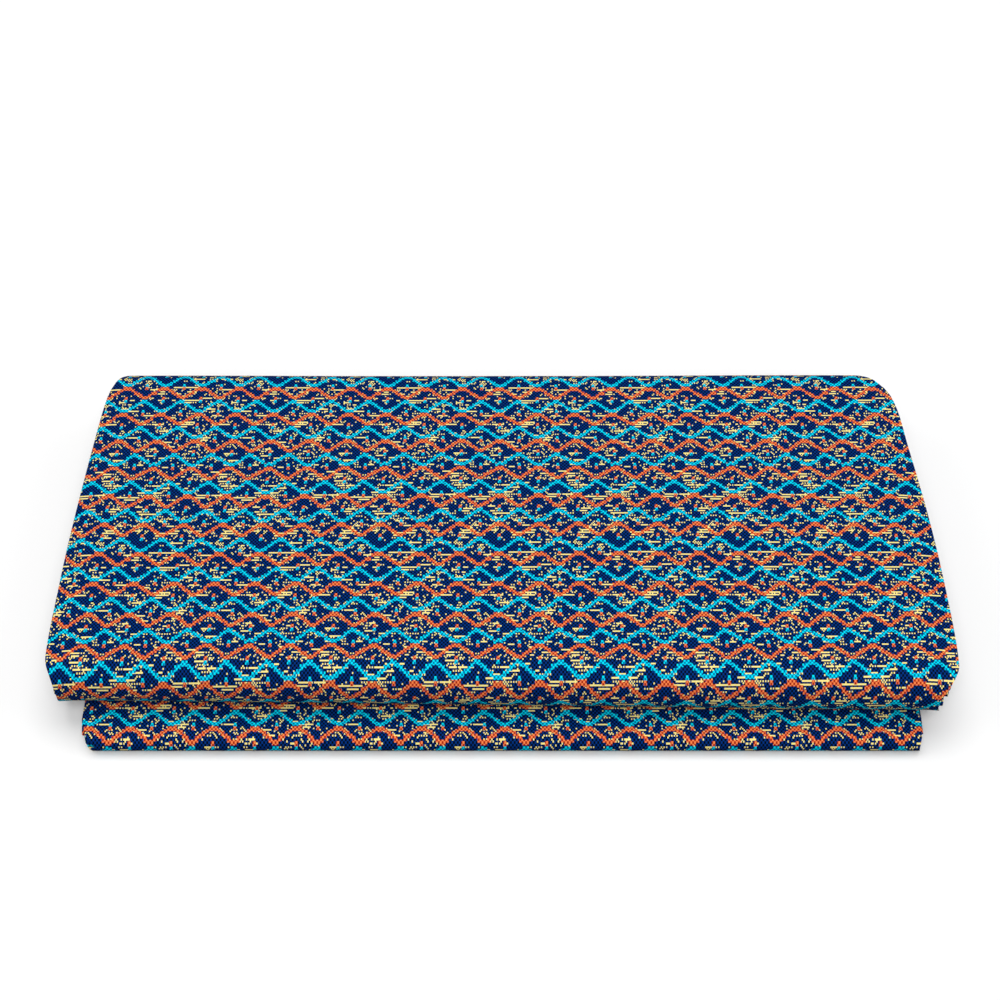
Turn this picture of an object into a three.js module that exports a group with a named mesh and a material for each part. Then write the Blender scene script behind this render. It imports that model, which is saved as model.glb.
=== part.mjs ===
// A six yard length of wax print cotton, folded flat into a packet.
// The cloth lies double, selvage to selvage, and runs back and forth in one piece. It makes
// a thin lower packet, then a thicker upper one, whose outer layer wraps round the front and
// the back of the layers inside it. Both ends of the cloth are tucked inside.
// Millimetres. X runs along the folds, Y from the front to the back, and Z up from the
// surface that the packet lies on.

import * as THREE from "three";

// The stack. One layer is the cloth lying double, and the air between layers keeps them apart.
const LAYER_THICKNESS = 1.85;
const LAYER_PITCH = 2.6;

// Levels count up from the surface. The upper packet's outer layer is at its lowest level
// and its top one, and comes in again at the back on the level above its lowest.
const LOWER_TOP_LEVEL = 5;
const UPPER_BOTTOM_LEVEL = 6;
const TUCKED_LEVEL = 7;
const TOP_LEVEL = 19;

// The lines along which flat runs end and the rounds of the folds that show begin.
const LOWER_FRONT_Y = -152.3;
const UPPER_FRONT_Y = -119.8;
const UPPER_BACK_Y = 142;

const FRONT = -1;
const BACK = 1;

// The cloth's first end lies inside the lower packet, behind the lower front fold.
const FIRST_END = { level: 4, y: -149 };
const LAST_END_Y = 138;

// Each turn of the cloth, in the order in which it runs: the side that it is on, the level
// that it leads to, and where its round begins. A turn with no line of its own is pushed
// into the round of the outer layer, less its inset.
const TURNS = [
  { side: BACK, to: 3, line: 150.5 },
  { side: FRONT, to: 2, line: -151.2 },
  { side: BACK, to: 1, line: 154 },
  { side: FRONT, to: LOWER_TOP_LEVEL, line: LOWER_FRONT_Y },
  { side: BACK, to: UPPER_BOTTOM_LEVEL, line: 143.6 },
  { side: FRONT, to: TOP_LEVEL, line: UPPER_FRONT_Y },
  { side: BACK, to: TUCKED_LEVEL, line: UPPER_BACK_Y },
  { side: FRONT, to: 8, inset: 1.2 },
  { side: BACK, to: 9, inset: 0.4 },
  { side: FRONT, to: 10, inset: 0.8 },
  { side: BACK, to: 11, inset: 2.6 },
  { side: FRONT, to: 12, inset: 0.3 },
  { side: BACK, to: 13, inset: 0.2 },
  { side: FRONT, to: 14, inset: 2.2 },
  { side: BACK, to: 15, inset: 1.9 },
  { side: FRONT, to: 16, inset: 0.5 },
  { side: BACK, to: 17, inset: 0.6 },
  { side: FRONT, to: 18, inset: 0.9 },
];

// How far the upper packet's sides stand from its middle, from the front to the back. All
// four corners are rounded, the back right one the most.
const UPPER_SIDES = [
  { y: -138, left: 285, right: 284 },
  { y: -134, left: 287, right: 288 },
  { y: -127, left: 288.7, right: 290 },
  { y: -119, left: 289.5, right: 291 },
  { y: -60, left: 289.5, right: 291 },
  { y: 5, left: 288, right: 288.5 },
  { y: 75, left: 284.5, right: 282.8 },
  { y: 121, left: 281, right: 278.2 },
  { y: 131, left: 279.5, right: 275 },
  { y: 142, left: 276, right: 267.5 },
  { y: 152.5, left: 269, right: 256 },
  { y: 158, left: 261, right: 247 },
];

// How far they draw in below that, from its underside up to its top.
const UPPER_DRAW_IN = [
  { z: 14, left: 5.5, right: 9.5 },
  { z: 31, left: 3, right: 6.8 },
  { z: 43, left: 1.8, right: 3.8 },
  { z: 48, left: 0, right: 0 },
];

// The lower packet is narrower, and the left corner of its front fold is rounded.
const LOWER_SIDES = [
  { y: -159, left: 256, right: 266 },
  { y: -155, left: 262, right: 267.5 },
  { y: -149, left: 266, right: 268.5 },
  { y: -138, left: 267.8, right: 268.8 },
];

// The upper packet lies a little askew: its front fold stands further out at the right.
const ASKEW = 4.4;
const ASKEW_FROM_Y = 10;

// The sides of the upper packet sag where nothing is under them.
const SAG = 1.6;
const SAG_FROM_X = 270;
const WIDEST = 290;

// The stack's height is a little uneven, and the cloth drifts sideways as it goes.
const SWELL = { share: 0.014, waveX: 205, waveY: 150, phaseX: 1 };
const DRIFT = 1.1;
const DRIFT_WAVE = 930;

// Where the solid has its points: across the packet, along a flat run, and round a turn.
const COLUMNS = [-1, -0.93, -0.5, 0, 0.5, 0.93, 1];
const RUN_BREAKS = [-149, -138, -60, 5, 75, 121, 131];
const SMALL_TURN_STEPS = 6;
const TURN_STEP_LENGTH = 3.4;

function levelHeight(level) {
  return LAYER_THICKNESS / 2 + (level - 1) * LAYER_PITCH;
}

// How much a point at this height belongs to the upper packet: 0 on the lower packet's top
// layer, 1 from the level given, and eased between them.
function upperShare(z, fullLevel) {
  return THREE.MathUtils.smoothstep(z, levelHeight(LOWER_TOP_LEVEL), levelHeight(fullLevel));
}

// A turn inside the upper packet is a small round inside the large round of the outer layer.
// It goes as far as it can with the same gap all round.
function nestedLine(side, fromLevel, toLevel, inset) {
  const wrapFrom = side === FRONT ? UPPER_BOTTOM_LEVEL : TUCKED_LEVEL;
  const wrapRadius = (levelHeight(TOP_LEVEL) - levelHeight(wrapFrom)) / 2;
  const wrapMiddle = (levelHeight(TOP_LEVEL) + levelHeight(wrapFrom)) / 2;
  const wrapLine = side === FRONT ? UPPER_FRONT_Y : UPPER_BACK_Y;
  const turnRadius = Math.abs(levelHeight(toLevel) - levelHeight(fromLevel)) / 2;
  const turnMiddle = (levelHeight(toLevel) + levelHeight(fromLevel)) / 2;
  const room = wrapRadius - turnRadius - LAYER_PITCH;
  const reach = Math.sqrt(Math.max(0, room ** 2 - (turnMiddle - wrapMiddle) ** 2));
  return wrapLine + side * (reach - inset);
}

// A flat run at one height. Its stations leave out its far end, where the next turn begins.
function runStations(fromY, toY, z) {
  const heading = Math.sign(toY - fromY);
  const breaks = RUN_BREAKS.filter(
    (y) => (y - fromY) * heading > 0 && (toY - y) * heading > 0,
  );
  breaks.sort((a, b) => (a - b) * heading);
  return [fromY, ...breaks].map((y) => ({ y, z, normalY: 0, normalZ: heading }));
}

// A half circle from one height to another, on the front or the back.
function turnStations(side, line, fromZ, toZ) {
  const radius = Math.abs(toZ - fromZ) / 2;
  const middle = (fromZ + toZ) / 2;
  const rise = Math.sign(toZ - fromZ);
  const steps = Math.max(SMALL_TURN_STEPS, Math.round((Math.PI * radius) / TURN_STEP_LENGTH));
  const stations = [];
  for (let step = 0; step < steps; step += 1) {
    const angle = (Math.PI * step) / steps;
    stations.push({
      y: line + side * radius * Math.sin(angle),
      z: middle - rise * radius * Math.cos(angle),
      normalY: -rise * Math.sin(angle),
      normalZ: side * Math.cos(angle),
    });
  }
  return stations;
}

// The middle line of the cloth from its first end to its last, seen from the side.
function clothPath() {
  const stations = [];
  let level = FIRST_END.level;
  let y = FIRST_END.y;
  for (const turn of TURNS) {
    const line = turn.line ?? nestedLine(turn.side, level, turn.to, turn.inset);
    stations.push(...runStations(y, line, levelHeight(level)));
    stations.push(...turnStations(turn.side, line, levelHeight(level), levelHeight(turn.to)));
    level = turn.to;
    y = line;
  }
  const z = levelHeight(level);
  stations.push(...runStations(y, LAST_END_Y, z));
  const heading = Math.sign(LAST_END_Y - y);
  stations.push({ y: LAST_END_Y, z, normalY: 0, normalZ: heading });
  return stations;
}

// Both sides' value in a table, between the rows on either side of a place along its key.
function betweenRows(table, key, place) {
  const next = table.findIndex((row) => row[key] >= place);
  if (next === 0) return table[0];
  if (next < 0) return table[table.length - 1];
  const before = table[next - 1];
  const after = table[next];
  const share = (place - before[key]) / (after[key] - before[key]);
  return {
    left: THREE.MathUtils.lerp(before.left, after.left, share),
    right: THREE.MathUtils.lerp(before.right, after.right, share),
  };
}

// Half widths of the layer whose middle line passes through this station.
function halfWidths({ y, z }) {
  const lower = betweenRows(LOWER_SIDES, "y", y);
  const upper = betweenRows(UPPER_SIDES, "y", y);
  const drawIn = betweenRows(UPPER_DRAW_IN, "z", z);
  const share = upperShare(z, UPPER_BOTTOM_LEVEL);
  return {
    left: THREE.MathUtils.lerp(lower.left, upper.left - drawIn.left, share),
    right: THREE.MathUtils.lerp(lower.right, upper.right - drawIn.right, share),
  };
}

// The whole stack is bent as one: askew in front, sagging at its sides, uneven in height.
// The underside stays flat, because the bends fade out towards it.
function settle(x, y, z) {
  const front = 1 - THREE.MathUtils.smoothstep(y, UPPER_FRONT_Y, ASKEW_FROM_Y);
  const askew = ASKEW * upperShare(z, TUCKED_LEVEL) * front * (x / WIDEST);
  const overhang = THREE.MathUtils.smoothstep(Math.abs(x), SAG_FROM_X, WIDEST);
  const sag = SAG * upperShare(z, UPPER_BOTTOM_LEVEL) * overhang;
  const swell = Math.sin(x / SWELL.waveX + SWELL.phaseX) * Math.cos(y / SWELL.waveY);
  return [x, y - askew, z * (1 + SWELL.share * swell) - sag];
}

// The strip has two faces, and a point on each for every station and column.
function stripGeometry(stations) {
  const points = [];
  let travelled = 0;
  stations.forEach((station, index) => {
    const before = stations[Math.max(0, index - 1)];
    travelled += Math.hypot(station.y - before.y, station.z - before.z);
    const { left, right } = halfWidths(station);
    const drift = DRIFT * Math.sin((2 * Math.PI * travelled) / DRIFT_WAVE);
    for (const face of [-1, 1]) {
      const y = station.y + (face * station.normalY * LAYER_THICKNESS) / 2;
      const z = station.z + (face * station.normalZ * LAYER_THICKNESS) / 2;
      for (const column of COLUMNS) {
        const x = drift + column * (column < 0 ? left : right);
        points.push(...settle(x, y, z));
      }
    }
  });

  const width = COLUMNS.length;
  const at = (station, face, column) => (station * 2 + face) * width + column;
  const triangles = [];
  const quad = (a, b, c, d) => triangles.push(a, b, c, a, c, d);
  const lastStation = stations.length - 1;
  const lastColumn = width - 1;
  for (let s = 0; s < lastStation; s += 1) {
    for (let c = 0; c < lastColumn; c += 1) {
      quad(at(s, 1, c), at(s, 1, c + 1), at(s + 1, 1, c + 1), at(s + 1, 1, c));
      quad(at(s, 0, c), at(s + 1, 0, c), at(s + 1, 0, c + 1), at(s, 0, c + 1));
    }
    quad(at(s, 0, 0), at(s, 1, 0), at(s + 1, 1, 0), at(s + 1, 0, 0));
    quad(
      at(s, 0, lastColumn),
      at(s + 1, 0, lastColumn),
      at(s + 1, 1, lastColumn),
      at(s, 1, lastColumn),
    );
  }
  for (let c = 0; c < lastColumn; c += 1) {
    quad(at(0, 0, c), at(0, 0, c + 1), at(0, 1, c + 1), at(0, 1, c));
    quad(
      at(lastStation, 0, c),
      at(lastStation, 1, c),
      at(lastStation, 1, c + 1),
      at(lastStation, 0, c + 1),
    );
  }

  const geometry = new THREE.BufferGeometry();
  geometry.setAttribute("position", new THREE.Float32BufferAttribute(points, 3));
  geometry.setIndex(triangles);
  geometry.computeBoundingBox();
  const { min, max } = geometry.boundingBox;
  geometry.translate(-(min.x + max.x) / 2, -(min.y + max.y) / 2, -min.z);
  geometry.computeVertexNormals();
  return geometry;
}

const printedCotton = new THREE.MeshStandardMaterial({
  color: 0x24507a,
  roughness: 0.72,
  metalness: 0,
});

const foldedCloth = new THREE.Mesh(stripGeometry(clothPath()), printedCotton);
foldedCloth.name = "folded_cloth";

const fabric = new THREE.Group();
fabric.add(foldedCloth);

export default fabric;
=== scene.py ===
import math

import bpy
import numpy as np
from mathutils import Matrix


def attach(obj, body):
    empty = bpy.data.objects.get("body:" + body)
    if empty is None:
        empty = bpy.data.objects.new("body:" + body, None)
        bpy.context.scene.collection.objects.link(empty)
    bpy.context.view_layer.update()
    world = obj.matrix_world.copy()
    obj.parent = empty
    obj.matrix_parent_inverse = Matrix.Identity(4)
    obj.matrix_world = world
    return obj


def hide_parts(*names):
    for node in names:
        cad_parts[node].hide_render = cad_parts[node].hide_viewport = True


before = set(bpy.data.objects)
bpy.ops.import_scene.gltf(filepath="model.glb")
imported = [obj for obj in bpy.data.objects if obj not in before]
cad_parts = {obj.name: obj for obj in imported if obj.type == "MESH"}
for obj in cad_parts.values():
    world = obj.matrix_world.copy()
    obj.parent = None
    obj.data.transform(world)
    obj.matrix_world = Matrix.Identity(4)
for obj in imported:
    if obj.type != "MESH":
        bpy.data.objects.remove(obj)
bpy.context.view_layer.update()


# The camera stands in front of the packet, as the photograph was taken: a long lens, looking
# down at 45 degrees on the front fold and the top.
CAMERA_PLACE = (-0.0010, -1.07455, 1.1457)
LOOKS_DOWN = math.radians(45)
LENS_MM = 82.37
SENSOR_MM = 36

camera_data = bpy.data.cameras.new("camera")
camera_data.lens = LENS_MM
camera_data.sensor_width = SENSOR_MM
camera = bpy.data.objects.new("camera", camera_data)
camera.location = CAMERA_PLACE
camera.rotation_euler = (math.radians(90) - LOOKS_DOWN, 0, 0)
bpy.context.scene.collection.objects.link(camera)
bpy.context.scene.camera = camera


# The cloth is six yards of plain woven cotton, 46 inches wide. It is folded once along its
# length, selvage on selvage, so it lies double, and then back and forth across its width: a
# thin packet below, a thicker round-nosed one on top, and both cut ends tucked inside.
MM = 0.001

# All sizes in this section are in millimetres. One layer is two plies of the cloth, on either
# side of the layer's middle.
PLY = 0.56
PLY_FROM_MIDDLE = 0.62
LAYER = 1.85
PITCH = 2.6

# Levels count up from the surface that the packet lies on. The outer layer of the upper
# packet is its lowest level and its top one.
LOWER_TOP = 5
UPPER_BOTTOM = 6
TUCKED = 7
TOP = 19

FRONT = -1
BACK = 1
LOWER_FRONT_Y = -152.3
UPPER_FRONT_Y = -119.8
UPPER_BACK_Y = 142
FIRST_END_LEVEL = 4
FIRST_END_Y = -149
LAST_END_Y = 138

# Each turn, in the order in which the cloth runs: its side, the level it leads to, the line
# where its round begins, and whether that line is instead how far it lies inside the round of
# the outer layer.
TURNS = [
    (BACK, 3, 150.5, False),
    (FRONT, 2, -151.2, False),
    (BACK, 1, 154, False),
    (FRONT, LOWER_TOP, LOWER_FRONT_Y, False),
    (BACK, UPPER_BOTTOM, 143.6, False),
    (FRONT, TOP, UPPER_FRONT_Y, False),
    (BACK, TUCKED, UPPER_BACK_Y, False),
    (FRONT, 8, 1.2, True),
    (BACK, 9, 0.4, True),
    (FRONT, 10, 0.8, True),
    (BACK, 11, 2.6, True),
    (FRONT, 12, 0.3, True),
    (BACK, 13, 0.2, True),
    (FRONT, 14, 2.2, True),
    (BACK, 15, 1.9, True),
    (FRONT, 16, 0.5, True),
    (BACK, 17, 0.6, True),
    (FRONT, 18, 0.9, True),
]
SEEN_RUN_STEP = 7
HIDDEN_RUN_STEP = 12.5
RUN_STEPS_LEAST = 2
TURN_STEP = 2.1
TURN_STEPS_LEAST = 8
CLOSE_ENOUGH = 0.01


def level_height(level):
    """Half a layer, and one pitch for each level below this one."""
    return LAYER / 2 + (level - 1) * PITCH


def inside_round(side, from_level, to_level, inset):
    """Where a turn inside the upper packet begins: the two rounds are circles, one inside the
    other, so it lies off the large one's line by the root of room squared less the square of
    the height between their middles."""
    wrap_from = UPPER_BOTTOM if side == FRONT else TUCKED
    wrap_line = UPPER_FRONT_Y if side == FRONT else UPPER_BACK_Y
    wrap_radius = (level_height(TOP) - level_height(wrap_from)) / 2
    wrap_middle = (level_height(TOP) + level_height(wrap_from)) / 2
    radius = abs(level_height(to_level) - level_height(from_level)) / 2
    middle = (level_height(to_level) + level_height(from_level)) / 2
    room = wrap_radius - radius - PITCH
    reach = math.sqrt(max(0, room**2 - (middle - wrap_middle) ** 2))
    return wrap_line + side * (reach - inset)


def flat_run(from_y, to_y, z, step):
    """Even steps along a straight line, less its far end: y, z and the way its face looks."""
    heading = math.copysign(1, to_y - from_y)
    count = max(RUN_STEPS_LEAST, round(abs(to_y - from_y) / step))
    y = np.linspace(from_y, to_y, count, endpoint=False)
    return np.column_stack([y, 0 * y + z, 0 * y, 0 * y + heading])


def round_turn(side, line, from_z, to_z):
    """Even steps round a half circle, less its far end: y is the line plus r sin a, z is the
    middle less r cos a, and the face looks along or against the radius."""
    radius = abs(to_z - from_z) / 2
    rise = math.copysign(1, to_z - from_z)
    count = max(TURN_STEPS_LEAST, round(math.pi * radius / TURN_STEP))
    a = np.linspace(0, math.pi, count, endpoint=False)
    y = line + side * radius * np.sin(a)
    z = (from_z + to_z) / 2 - rise * radius * np.cos(a)
    return np.column_stack([y, z, -rise * np.sin(a), side * np.cos(a)])


stretches = []
level = FIRST_END_LEVEL
here_y = FIRST_END_Y
for side, to_level, place, is_inset in TURNS:
    line = inside_round(side, level, to_level, place) if is_inset else place
    step = SEEN_RUN_STEP if level in (LOWER_TOP, TOP) else HIDDEN_RUN_STEP
    stretches.append(flat_run(here_y, line, level_height(level), step))
    stretches.append(round_turn(side, line, level_height(level), level_height(to_level)))
    level = to_level
    here_y = line
stretches.append(flat_run(here_y, LAST_END_Y, level_height(level), HIDDEN_RUN_STEP))
stretches.append([[LAST_END_Y, level_height(level), 0, math.copysign(1, LAST_END_Y - here_y)]])
path_y, path_z, face_y, face_z = np.vstack(stretches).T
step_lengths = np.hypot(np.diff(path_y), np.diff(path_z))
travelled = np.concatenate([[0], np.cumsum(step_lengths)])


def travelled_at(level, y):
    """How far the cloth has run where it passes a place on the flat part of a level: on a
    straight line between the stations before and after that place."""
    on_level = np.abs(path_z - level_height(level)) < CLOSE_ENOUGH
    flat = on_level & (np.abs(face_y) < CLOSE_ENOUGH)
    order = np.argsort(path_y[flat])
    return float(np.interp(y, path_y[flat][order], travelled[flat][order]))


# How far each packet's sides stand from its middle, from the front to the back, and how far
# the upper one draws in from its top down to its underside. Each row is a place, and then
# what the left and the right side have there.
LEFT = 1
RIGHT = 2
UPPER_SIDES = np.array([
    [-138, 285, 284],
    [-134, 287, 288],
    [-127, 288.7, 290],
    [-119, 289.5, 291],
    [-60, 289.5, 291],
    [5, 288, 288.5],
    [75, 284.5, 282.8],
    [121, 281, 278.2],
    [131, 279.5, 275],
    [142, 276, 267.5],
    [152.5, 269, 256],
    [158, 261, 247],
])
UPPER_DRAW_IN = np.array([[14, 5.5, 9.5], [31, 3, 6.8], [43, 1.8, 3.8], [48, 0, 0]])
LOWER_SIDES = np.array([
    [-159, 256, 266],
    [-155, 262, 267.5],
    [-149, 266, 268.5],
    [-138, 267.8, 268.8],
])


def from_rows(table, place, column):
    """A cubic between each two rows of a table, whose slope at a row is the mean of the
    slopes on either side of it. Past the ends it keeps the end value."""
    keys = table[:, 0]
    values = table[:, column]
    rises = np.diff(values) / np.diff(keys)
    slopes = np.concatenate([rises[:1], (rises[1:] + rises[:-1]) / 2, rises[-1:]])
    place = np.clip(place, keys[0], keys[-1])
    row = np.clip(np.searchsorted(keys, place) - 1, 0, len(keys) - 2)
    gap = keys[row + 1] - keys[row]
    t = (place - keys[row]) / gap
    start = (1 + 2 * t) * (1 - t) ** 2 * values[row] + gap * t * (1 - t) ** 2 * slopes[row]
    end = t**2 * (3 - 2 * t) * values[row + 1] - gap * t**2 * (1 - t) * slopes[row + 1]
    return start + end


def eased(value, low, high):
    """0 below low, 1 above high, and between them 3 t squared less 2 t cubed."""
    t = np.clip((value - low) / (high - low), 0, 1)
    return t * t * (3 - 2 * t)


def wobble(place, waves):
    """A sum of sines: each has a height, a length over two pi and a start."""
    return sum(height * np.sin(place / length + start) for height, length, start in waves)


# The plies' edges aren't quite in line from one layer to the next, least where they show as
# the packet's outline. The cloth drifts to one side and back as it is folded.
LEFT_WOBBLE = [(0.75, 148, 0.7), (0.35, 61, 2.0), (0.22, 23, 4.1)]
RIGHT_WOBBLE = [(0.7, 131, 2.1), (0.35, 53, 0.4), (0.22, 19, 1.2)]
UNDER_PLY_WOBBLE = [(0.5, 97, 1.0), (0.4, 37, 3.0), (0.2, 17, 5.0)]
UNDER_PLY_SHORT = 1.1
OUTER_LAYER_WOBBLE = 0.2
OUTER_LAYER_FROM_Y = 60
OUTER_LAYER_EASE = 90
DRIFT = 1.1
DRIFT_WAVE = 930

wrap_start = travelled_at(UPPER_BOTTOM, OUTER_LAYER_FROM_Y)
wrap_end = travelled_at(TUCKED, OUTER_LAYER_FROM_Y)
on_wrap = eased(travelled, wrap_start - OUTER_LAYER_EASE, wrap_start)
on_wrap = on_wrap * (1 - eased(travelled, wrap_end, wrap_end + OUTER_LAYER_EASE))
looseness = 1 - (1 - OUTER_LAYER_WOBBLE) * on_wrap
upper = eased(path_z, level_height(LOWER_TOP), level_height(UPPER_BOTTOM))
upper_left = from_rows(UPPER_SIDES, path_y, LEFT) - from_rows(UPPER_DRAW_IN, path_z, LEFT)
upper_right = from_rows(UPPER_SIDES, path_y, RIGHT) - from_rows(UPPER_DRAW_IN, path_z, RIGHT)
left = (1 - upper) * from_rows(LOWER_SIDES, path_y, LEFT) + upper * upper_left
right = (1 - upper) * from_rows(LOWER_SIDES, path_y, RIGHT) + upper * upper_right
left += looseness * wobble(travelled, LEFT_WOBBLE)
right += looseness * wobble(travelled, RIGHT_WOBBLE)
under_right = right - UNDER_PLY_SHORT + looseness * wobble(travelled, UNDER_PLY_WOBBLE)
drift = DRIFT * np.sin(2 * math.pi * travelled / DRIFT_WAVE)

# Across the packet the cloth runs from one selvage to the lengthwise fold at the left, round
# that fold, and back to the other selvage: a share of the width, and the angle turned.
NEAR_SIDE = [0, 0.006, 0.014, 0.026, 0.044, 0.07]
NEAR_SELVAGE = [0.93, 0.956, 0.974, 0.988, 1]
MIDDLE = np.linspace(0.11, 0.89, 17)
FOLD_STEPS = 6
shares = np.concatenate([NEAR_SIDE, MIDDLE, NEAR_SELVAGE])
fold_angles = np.linspace(0, math.pi, FOLD_STEPS + 1)[1:-1]
share = np.concatenate([shares[::-1], 0 * fold_angles, shares])
angle = np.concatenate([0 * shares, fold_angles, 0 * shares + math.pi])
is_under = angle > math.pi / 2

fold_x = -left + PLY_FROM_MIDDLE + PLY / 2
reach = np.where(is_under, under_right[:, None], right[:, None]) - fold_x[:, None]
across = fold_x[:, None] + share * reach

# Away from the fold the under ply lies a hair's breadth nearer to or further from its twin.
FLUTTER = [(0.10, 31, 0.0), (0.07, 13, 2.0)]
FLUTTER_SLANT = 1.7
FLUTTER_FULL_AT = 0.1
aslant = across + FLUTTER_SLANT * travelled[:, None]
flutter = wobble(aslant, FLUTTER) * eased(share, 0, FLUTTER_FULL_AT) * is_under

skins = []
for radius in (PLY_FROM_MIDDLE + PLY / 2, PLY_FROM_MIDDLE - PLY / 2):
    off_middle = radius * np.cos(angle) + flutter
    x = across - radius * np.sin(angle) + drift[:, None]
    y = path_y[:, None] + off_middle * face_y[:, None]
    z = path_z[:, None] + off_middle * face_z[:, None]
    skins.append(np.stack([x, y, z], axis=-1))
cloth_points = np.stack(skins, axis=2)

# The stack settles as one: it lies a little askew in front, its unsupported sides sag, and
# its height is uneven. All of it fades out towards the flat underside. A ripple has a height,
# its lengths over two pi in x and y, and a start.
ASKEW = 4.4
ASKEW_FROM_Y = 10
WIDEST = 290
SAG = 1.6
SAG_FROM_X = 270
SWELL_SHARE = 0.014
SWELL_WAVE_X = 205
SWELL_WAVE_Y = 150
SWELL_START = 1
RIPPLES = [(0.26, 81, 33, 0.4), (0.20, -57, 60, 2.2), (0.14, 39, -69, 4.0)]
CENTRING = (-0.847, -0.05)

x, y, z = np.moveaxis(cloth_points, -1, 0)
in_front = 1 - eased(y, UPPER_FRONT_Y, ASKEW_FROM_Y)
askew = ASKEW * eased(z, level_height(LOWER_TOP), level_height(TUCKED)) * in_front * x / WIDEST
overhang = eased(np.abs(x), SAG_FROM_X, WIDEST)
sag = SAG * eased(z, level_height(LOWER_TOP), level_height(UPPER_BOTTOM)) * overhang
swell = np.sin(x / SWELL_WAVE_X + SWELL_START) * np.cos(y / SWELL_WAVE_Y)
ripple = sum(height * np.sin(x / a + y / b + start) for height, a, b, start in RIPPLES)
settled_z = z * (1 + SWELL_SHARE * swell) - sag + ripple * z / level_height(TOP)
settled = np.stack([x + CENTRING[0], y - askew + CENTRING[1], settled_z], axis=-1)

# The print's repeat is three waves across the cloth and six rows along it, and the map counts
# repeats. The cloth was printed before it was folded, so the rows follow it round each fold.
WAVE = 26.5
ROW = 27.04
WAVES_PER_REPEAT = 3
ROWS_PER_REPEAT = 6
CELLS_PER_WAVE = 39
CELLS_PER_ROW = 36
TOP_ROW_Y = 136.0
TOP_PEAK_X = -2.3
LOWER_PEAK_X = 1.1
BEHIND_NOSE = 5
HALF_CELL = 0.5

# Dark dots fill every other square of a chart of their own. The thin selvage edges have the
# ground's dye alone: they all take it from the same plain square.
DOTS_ACROSS = 66
DOTS_ALONG = 108
PLAIN_COLUMN = 0
PLAIN_ROW = 11
PLAIN_GROUND_PLACE = (
    (PLAIN_COLUMN + HALF_CELL) / DOTS_ACROSS,
    (PLAIN_ROW + HALF_CELL) / DOTS_ALONG,
)

top_row = travelled_at(TOP, TOP_ROW_Y - CENTRING[1])
lower_nose = travelled_at(LOWER_TOP, LOWER_FRONT_Y + BEHIND_NOSE)
upper_nose = travelled_at(TOP, UPPER_FRONT_Y + BEHIND_NOSE)
peak_x = np.interp(travelled, [lower_nose, upper_nose], [LOWER_PEAK_X, TOP_PEAK_X])
along_width = fold_x[:, None] + np.where(is_under, -1, 1) * share * reach
along_width = along_width - PLY_FROM_MIDDLE * angle + CENTRING[0]
repeats_u = (along_width - peak_x[:, None]) / (WAVE * WAVES_PER_REPEAT)
repeats_u += HALF_CELL / (CELLS_PER_WAVE * WAVES_PER_REPEAT)
along_length = travelled[:, None] - askew.mean(axis=2)
repeats_v = (top_row - along_length) / (ROW * ROWS_PER_REPEAT)

# The two skins of the cloth are grids, and bands close them at the selvages and cut ends.
stations = len(travelled)
columns = len(share)
number = np.arange(stations * columns * 2).reshape(stations, columns, 2)
outer = number[:, :, 0]
inner = number[:, :, 1]


def quads(a, b, c, d):
    """One four-sided face for each place in four arrays of point numbers."""
    return np.stack([a, b, c, d], axis=-1).reshape(-1, 4)


def band(first, second):
    """Faces between two lines of points."""
    return quads(first[:-1], first[1:], second[1:], second[:-1])


skin_faces = np.concatenate([
    quads(outer[:-1, :-1], outer[1:, :-1], outer[1:, 1:], outer[:-1, 1:]),
    quads(inner[:-1, :-1], inner[:-1, 1:], inner[1:, 1:], inner[1:, :-1]),
    band(outer[0], inner[0]),
    band(inner[-1], outer[-1]),
])
selvage_faces = np.concatenate([
    band(inner[:, 0], outer[:, 0]),
    band(outer[:, -1], inner[:, -1]),
])
faces = np.concatenate([skin_faces, selvage_faces])
SHARP_EDGE = math.radians(50)

cloth_mesh = bpy.data.meshes.new("wax_print_cloth")
cloth_mesh.from_pydata((settled * MM).reshape(-1, 3).tolist(), [], faces.tolist())
map_of_print = cloth_mesh.uv_layers.new(name="OFBake")
u_and_v = np.stack([repeats_u, repeats_v], axis=-1)
u_and_v = np.repeat(u_and_v[:, :, None, :], 2, axis=2).reshape(-1, 2)[faces]
u_and_v[len(skin_faces):] = PLAIN_GROUND_PLACE
map_of_print.data.foreach_set("uv", u_and_v.astype(np.float32).ravel())
cloth_mesh.shade_smooth()
cloth_mesh.set_sharp_from_angle(angle=SHARP_EDGE)
cloth = bpy.data.objects.new("wax_print_cloth", cloth_mesh)
bpy.context.scene.collection.objects.link(cloth)


# The print is dye on both faces of the cotton, kept off by wax where another colour goes. It
# is charted in cells, as on squared paper, from whole numbers and a few random draws, and
# every part of it comes round again after one repeat.
class Field:
    """A number that changes over the cloth: one output of a shader node. A sign between it
    and another, or a plain number, adds one Math node."""

    def __init__(self, tree, socket):
        self.tree = tree
        self.socket = socket

    def worked(self, operation, *others):
        """What one Math node makes of this number and any others."""
        node = self.tree.nodes.new("ShaderNodeMath")
        node.operation = operation
        for slot, value in zip(node.inputs, (self, *others)):
            if isinstance(value, Field):
                self.tree.links.new(value.socket, slot)
            else:
                slot.default_value = value
        return Field(self.tree, node.outputs[0])

    def __add__(self, other):
        return self.worked("ADD", other)

    def __sub__(self, other):
        return self.worked("SUBTRACT", other)

    def __mul__(self, other):
        return self.worked("MULTIPLY", other)

    def __truediv__(self, other):
        return self.worked("DIVIDE", other)

    def __mod__(self, other):
        return self.worked("FLOORED_MODULO", other)

    def __lt__(self, other):
        return self.worked("LESS_THAN", other)

    def __gt__(self, other):
        return self.worked("GREATER_THAN", other)


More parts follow.
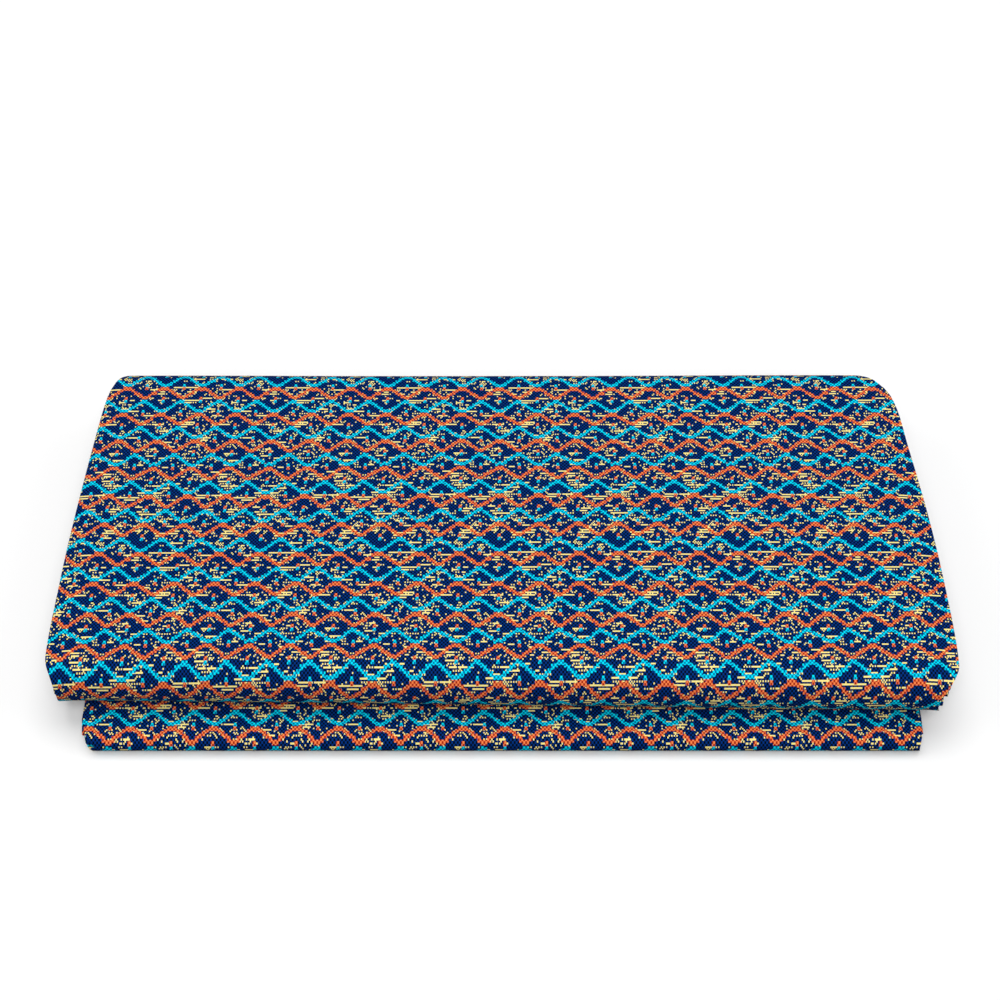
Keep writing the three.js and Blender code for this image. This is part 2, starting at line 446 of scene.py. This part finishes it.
def node_group(name, inputs, outputs):
    """An empty shader node group with these named sockets, and its two ends."""
    tree = bpy.data.node_groups.new(name, "ShaderNodeTree")
    for label, kind in inputs.items():
        tree.interface.new_socket(name=label, in_out="INPUT", socket_type=kind)
    for label, kind in outputs.items():
        tree.interface.new_socket(name=label, in_out="OUTPUT", socket_type=kind)
    start = tree.nodes.new("NodeGroupInput")
    end = tree.nodes.new("NodeGroupOutput")
    return tree, start.outputs, end.inputs


def map_parts(tree, socket):
    """The two numbers of a place on the print's map."""
    split = tree.nodes.new("ShaderNodeSeparateXYZ")
    tree.links.new(socket, split.inputs[0])
    return Field(tree, split.outputs["X"]), Field(tree, split.outputs["Y"])


def draw(first, second, seed):
    """A random number from 0 to 1, always the same for the same two numbers and seed."""
    tree = first.tree
    place = tree.nodes.new("ShaderNodeCombineXYZ")
    tree.links.new(first.socket, place.inputs["X"])
    tree.links.new(second.socket, place.inputs["Y"])
    place.inputs["Z"].default_value = seed
    noise = tree.nodes.new("ShaderNodeTexWhiteNoise")
    noise.noise_dimensions = "3D"
    tree.links.new(place.outputs[0], noise.inputs["Vector"])
    return Field(tree, noise.outputs["Value"])


def patches(u, v, along_u, along_v, detail):
    """Soft noise that comes round after one repeat: the place goes round two circles at once
    in four dimensions, and a circle's length is its number of patches."""
    tree = u.tree
    turn = 2 * math.pi
    place = tree.nodes.new("ShaderNodeCombineXYZ")
    for slot, field in zip(
        place.inputs,
        [
            (u * turn).worked("COSINE") * (along_u / turn),
            (u * turn).worked("SINE") * (along_u / turn),
            (v * turn).worked("COSINE") * (along_v / turn),
        ],
    ):
        tree.links.new(field.socket, slot)
    fourth = (v * turn).worked("SINE") * (along_v / turn)
    noise = tree.nodes.new("ShaderNodeTexNoise")
    noise.noise_dimensions = "4D"
    noise.inputs["Scale"].default_value = 1
    noise.inputs["Detail"].default_value = detail
    tree.links.new(place.outputs[0], noise.inputs["Vector"])
    tree.links.new(fourth.socket, noise.inputs["W"])
    return Field(tree, noise.outputs["Fac"])


def cell_of(field, count):
    """The middle of the cell that a place is in, counted in cells from the repeat's edge."""
    return ((field * count).worked("FLOOR") + HALF_CELL) % count


def crowded(noise, start, rise, least, most):
    """How often marks stand: the rise times what the noise is above its start, held between
    the least and the most."""
    return ((noise - start) * rise).worked("MAXIMUM", least).worked("MINIMUM", most)


def painted(share, below, above):
    """One colour over another: each is a node's socket."""
    tree = share.tree
    mix = tree.nodes.new("ShaderNodeMix")
    mix.data_type = "RGBA"
    tree.links.new(share.socket, mix.inputs["Factor"])
    tree.links.new(below, mix.inputs["A"])
    tree.links.new(above, mix.inputs["B"])
    return mix.outputs["Result"]


COLOUR = "NodeSocketColor"
NUMBER = "NodeSocketFloat"
VECTOR = "NodeSocketVector"

CELLS_ACROSS = CELLS_PER_WAVE * WAVES_PER_REPEAT
CELLS_ALONG = CELLS_PER_ROW * ROWS_PER_REPEAT
MARKS_ACROSS = 96
MARKS_ALONG = 144

# The lines climb in stairs, all counted in cells: a stair's width and rise, where a stair
# begins, how thick a line is, where the cyan one starts in its row, and how far one slips.
STAIR_WIDTH = 3
STAIR_RISE = 2.52
STAIR_START = 1
STAIRS_PER_WAVE = CELLS_PER_WAVE // STAIR_WIDTH
STAIRS_ACROSS = STAIRS_PER_WAVE * WAVES_PER_REPEAT
LINE_CELLS = 4.8
CYAN_LINE_FROM = 30.6
SLIP = 1.3
ORANGE_SEED = 1
CYAN_SEED = 2

# The middle of each small square and half its size, in cells. The pair at a wave's valley is
# parted by the edge between two rows.
UPPER_SQUARE = 16.2
LOWER_SQUARE = 19.8
HALF_SQUARE = 1.8
VALLEY_SQUARE = 20.5
HALF_VALLEY_SQUARE = 1.1

# How the pale marks crowd together: the patches to the repeat, and the noise's detail, and
# then its start, its rise, and the least and most of what comes out. The dots' patches are
# counted across and along the cloth, the dashes' along and across it.
DOT_PATCHES = (6, 24, 1.5)
DOT_CROWD = (0.42, 1.4, 0.03, 0.22)
DOT_SEED = 3
DASH_PATCHES = (20, 5, 1.0)
DASH_CROWD = (0.36, 4.5, 0.25, 1.4)

# Runs of pale cells: how long the place for one is, how often one is there, its shortest and
# longest share of that place, how often it is dotted, and a seed.
DASHES = [
    (32, 0.17, 0.25, 0.80, 0.10, 11),
    (12, 0.25, 0.25, 0.95, 0.35, 23),
    (8, 0.24, 0.20, 0.90, 0.60, 37),
]

wax_print, given, put_out = node_group(
    "wax print",
    {
        "Map": VECTOR,
        "Ground": COLOUR,
        "Ground Dots": COLOUR,
        "Orange": COLOUR,
        "Orange Dots": COLOUR,
        "Cyan": COLOUR,
        "Cyan Dots": COLOUR,
        "Pale": COLOUR,
    },
    {"Color": COLOUR},
)
u, v = map_parts(wax_print, given["Map"])
cell_x = cell_of(u, CELLS_ACROSS)
cell_y = cell_of(v, CELLS_ALONG)
in_row = cell_y % CELLS_PER_ROW
row = (cell_y / CELLS_PER_ROW).worked("FLOOR")

# An orange wave has thirteen stairs: three level ones at its peak, and then one step down for
# each, to two level ones at its valley. A cyan wave is the same one turned over.
stair = ((cell_x + STAIR_START) / STAIR_WIDTH).worked("FLOOR")
stair = (stair + HALF_CELL) % STAIRS_ACROSS
in_wave = stair % STAIRS_PER_WAVE - HALF_CELL
from_peak = in_wave.worked("MINIMUM", (in_wave - STAIRS_PER_WAVE) * -1)
climb = (from_peak - 1).worked("MAXIMUM", 0) * STAIR_RISE

# Inked areas are dotted all over, like squared paper filled in on every other square.
dot_height = (u * (DOTS_ACROSS * math.pi)).worked("SINE")
dot_height = dot_height * (v * (DOTS_ALONG * math.pi)).worked("SINE")
dotted_ink = dot_height > 0

# Each stair of a line is drawn by hand, so some stand a cell too high or too low.
slip_orange = ((draw(stair, row, ORANGE_SEED) - 0.5) * SLIP).worked("ROUND")
slip_cyan = ((draw(stair, row, CYAN_SEED) - 0.5) * SLIP).worked("ROUND")
orange = ((in_row - climb - slip_orange) % CELLS_PER_ROW) < LINE_CELLS
cyan = ((in_row + climb - slip_cyan - CYAN_LINE_FROM) % CELLS_PER_ROW) < LINE_CELLS

# Two small squares stand in the middle of every lozenge.
at_peak = from_peak < 0.5
at_valley = (cell_x % CELLS_PER_WAVE).worked("COMPARE", VALLEY_SQUARE, HALF_VALLEY_SQUARE)
upper_square = in_row.worked("COMPARE", UPPER_SQUARE, HALF_SQUARE)
lower_square = in_row.worked("COMPARE", LOWER_SQUARE, HALF_SQUARE)
orange = orange.worked("MAXIMUM", at_peak * upper_square)
cyan = cyan.worked("MAXIMUM", at_peak * lower_square)
cyan = cyan.worked("MAXIMUM", at_valley * (in_row > (CELLS_PER_ROW - 2 * HALF_SQUARE)))
orange = orange.worked("MAXIMUM", at_valley * (in_row < (2 * HALF_SQUARE)))

# Pale dots stand on every other square, thick in some patches and thin in others.
mark_x = cell_of(u, MARKS_ACROSS)
mark_y = cell_of(v, MARKS_ALONG)
odd_mark = ((mark_x + mark_y + HALF_CELL) % 2) > 1
mark_u = mark_x / MARKS_ACROSS
mark_v = mark_y / MARKS_ALONG
crowd = crowded(patches(mark_u, mark_v, *DOT_PATCHES), *DOT_CROWD)
pale = (draw(mark_x, mark_y, DOT_SEED) < crowd) * odd_mark

# Pale dashes lie on every other line of squares.
crowd = crowded(patches(mark_v, mark_u, *DASH_PATCHES), *DASH_CROWD)
dash_line = (mark_y % 2) < 1
for place_cells, often, shortest, longest, dotted, seed in DASHES:
    start_at = (draw(mark_y, mark_y, seed) * MARKS_ACROSS).worked("FLOOR")
    moved = (mark_x + start_at) % MARKS_ACROSS
    place = (moved / place_cells).worked("FLOOR")
    inside = moved % place_cells
    is_there = draw(place, mark_y, seed + 1) < (crowd * often)
    length = draw(place, mark_y, seed + 2) * (longest - shortest) + shortest
    is_long = inside < (length * place_cells)
    whole = draw(place, mark_y, seed + 3) > dotted
    solid = whole.worked("MAXIMUM", odd_mark)
    pale = pale.worked("MAXIMUM", is_there * is_long * solid * dash_line)

# The wavy lines and small squares go over the pale marks, and these over the ground.
colour = painted(dotted_ink, given["Ground"], given["Ground Dots"])
colour = painted(pale, colour, given["Pale"])
colour = painted(orange, colour, painted(dotted_ink, given["Orange"], given["Orange Dots"]))
colour = painted(cyan, colour, painted(dotted_ink, given["Cyan"], given["Cyan Dots"]))
wax_print.links.new(colour, put_out["Color"])

# Plain weave: each thread is round, and goes over one and under the next.
ROUND_SHARE = 0.6
WAVE_SHARE = 0.4
HALF_THREAD = 0.5

plain_weave, given, put_out = node_group(
    "plain weave",
    {"Map": VECTOR, "Threads Across": NUMBER, "Threads Along": NUMBER},
    {"Height": NUMBER},
)
u, v = map_parts(plain_weave, given["Map"])
warp_at = u * Field(plain_weave, given["Threads Across"])
weft_at = v * Field(plain_weave, given["Threads Along"])


def thread(across_it, along_it, start):
    """A round top across the thread, the size of a sine, and a cosine up and down along it
    that is opposite on every other thread. Start counts half waves."""
    roundness = (across_it * math.pi).worked("SINE").worked("ABSOLUTE")
    wave = ((along_it + across_it.worked("FLOOR") + start) * math.pi).worked("COSINE")
    return roundness * ROUND_SHARE + wave * WAVE_SHARE


warp = thread(warp_at, weft_at - HALF_THREAD, 0)
weft = thread(weft_at, warp_at - HALF_THREAD, 1)
height = warp.worked("MAXIMUM", weft)
plain_weave.links.new(height.socket, put_out["Height"])

# Colours of the print, the threads to the repeat, and how the cotton takes the light.
PRINT_COLOURS = {
    "Ground": (0.000, 0.031, 0.205, 1),
    "Ground Dots": (0.000, 0.002, 0.004, 1),
    "Orange": (0.980, 0.245, 0.075, 1),
    "Orange Dots": (0.400, 0.025, 0.008, 1),
    "Cyan": (0.000, 0.780, 0.980, 1),
    "Cyan Dots": (0.000, 0.170, 0.360, 1),
    "Pale": (1.000, 0.830, 0.280, 1),
}
THREADS = {"Threads Across": 224, "Threads Along": 450}
WEAVE_DEPTH = 0.00006
WEAVE_STRENGTH = 0.5
THREAD_TOP_ROUGHNESS = 0.66
THREAD_GAP_ROUGHNESS = 0.8
GLOSS = 0.03
SHEEN = 0.005
SHEEN_ROUGHNESS = 0.4

cotton = bpy.data.materials.new("wax_printed_cotton")
cotton.use_nodes = True
tree = cotton.node_tree
shader = tree.nodes["Principled BSDF"]
where = tree.nodes.new("ShaderNodeUVMap")
where.uv_map = "OFBake"
printed = tree.nodes.new("ShaderNodeGroup")
printed.node_tree = wax_print
woven = tree.nodes.new("ShaderNodeGroup")
woven.node_tree = plain_weave
for label, colour in PRINT_COLOURS.items():
    printed.inputs[label].default_value = colour
for label, count in THREADS.items():
    woven.inputs[label].default_value = count
tree.links.new(where.outputs["UV"], printed.inputs["Map"])
tree.links.new(where.outputs["UV"], woven.inputs["Map"])
tree.links.new(printed.outputs["Color"], shader.inputs["Base Color"])

bump = tree.nodes.new("ShaderNodeBump")
bump.inputs["Distance"].default_value = WEAVE_DEPTH
bump.inputs["Strength"].default_value = WEAVE_STRENGTH
tree.links.new(woven.outputs["Height"], bump.inputs["Height"])
tree.links.new(bump.outputs["Normal"], shader.inputs["Normal"])

matt = Field(tree, woven.outputs["Height"]) * (THREAD_TOP_ROUGHNESS - THREAD_GAP_ROUGHNESS)
matt = matt + THREAD_GAP_ROUGHNESS
tree.links.new(matt.socket, shader.inputs["Roughness"])
shader.inputs["Specular IOR Level"].default_value = GLOSS
shader.inputs["Sheen Weight"].default_value = SHEEN
shader.inputs["Sheen Roughness"].default_value = SHEEN_ROUGHNESS
cloth_mesh.materials.append(cotton)

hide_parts("folded_cloth")
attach(cloth, "root")


# The floor is a plain white sweep, so wide that its edge never shows. It shows white to the
# camera, but gives back only a fifth of the light that falls on it, so the folds stay deep.
FLOOR_HALF = 6
FLOOR_BELOW = -0.0002
FLOOR_WHITE = (0.97, 0.97, 0.97, 1)
FLOOR_GIVES_BACK = (0.2, 0.2, 0.2, 1)
FLOOR_ROUGHNESS = 0.9

corners = [(-1, -1), (1, -1), (1, 1), (-1, 1)]
floor_points = [(FLOOR_HALF * a, FLOOR_HALF * b, FLOOR_BELOW) for a, b in corners]
floor_mesh = bpy.data.meshes.new("floor")
floor_mesh.from_pydata(floor_points, [], [(0, 1, 2, 3)])
floor = bpy.data.objects.new("floor", floor_mesh)
bpy.context.scene.collection.objects.link(floor)
paper = bpy.data.materials.new("white_paper")
paper.use_nodes = True
tree = paper.node_tree
paper_shader = tree.nodes["Principled BSDF"]
paper_shader.inputs["Roughness"].default_value = FLOOR_ROUGHNESS
paper_shader.inputs["Specular IOR Level"].default_value = 0
seen = tree.nodes.new("ShaderNodeLightPath")
tone = tree.nodes.new("ShaderNodeMix")
tone.data_type = "RGBA"
tone.inputs["A"].default_value = FLOOR_GIVES_BACK
tone.inputs["B"].default_value = FLOOR_WHITE
tree.links.new(seen.outputs["Is Camera Ray"], tone.inputs["Factor"])
tree.links.new(tone.outputs["Result"], paper_shader.inputs["Base Color"])
floor_mesh.materials.append(paper)


# Soft studio light from broad lamps: one above and a little behind, one in front that fills
# the folds, and a faint one on each side. The room shows white to the camera, but adds only
# ROOM_SHARE of that light. Each lamp has its share, which is what it adds to the light on the
# floor, how many degrees it leans forwards or sideways, and how wide it is.
ROOM_SHARE = 0.2
LAMPS = {
    "lamp_above": (0.36, -15, 0, 50),
    "lamp_in_front": (0.43, 40, 0, 38),
    "lamp_left": (0.05, 0, -60, 40),
    "lamp_right": (0.05, 0, 60, 40),
}

world = bpy.data.worlds.new("studio")
world.use_nodes = True
tree = world.node_tree
room = tree.nodes["Background"]
seen = tree.nodes.new("ShaderNodeLightPath")
strength = Field(tree, seen.outputs["Is Camera Ray"]) * (1 - ROOM_SHARE) + ROOM_SHARE
room.inputs["Color"].default_value = (1, 1, 1, 1)
tree.links.new(strength.socket, room.inputs["Strength"])
bpy.context.scene.world = world
for name, (lamp_share, forwards, sideways, width) in LAMPS.items():
    light = bpy.data.lights.new(name, "SUN")
    light.energy = lamp_share * math.pi / math.cos(math.radians(forwards + sideways))
    light.angle = math.radians(width)
    lamp = bpy.data.objects.new(name, light)
    lamp.rotation_euler = (math.radians(forwards), math.radians(sideways), 0)
    bpy.context.scene.collection.objects.link(lamp)
bpy.context.scene.view_settings.view_transform = "Standard"
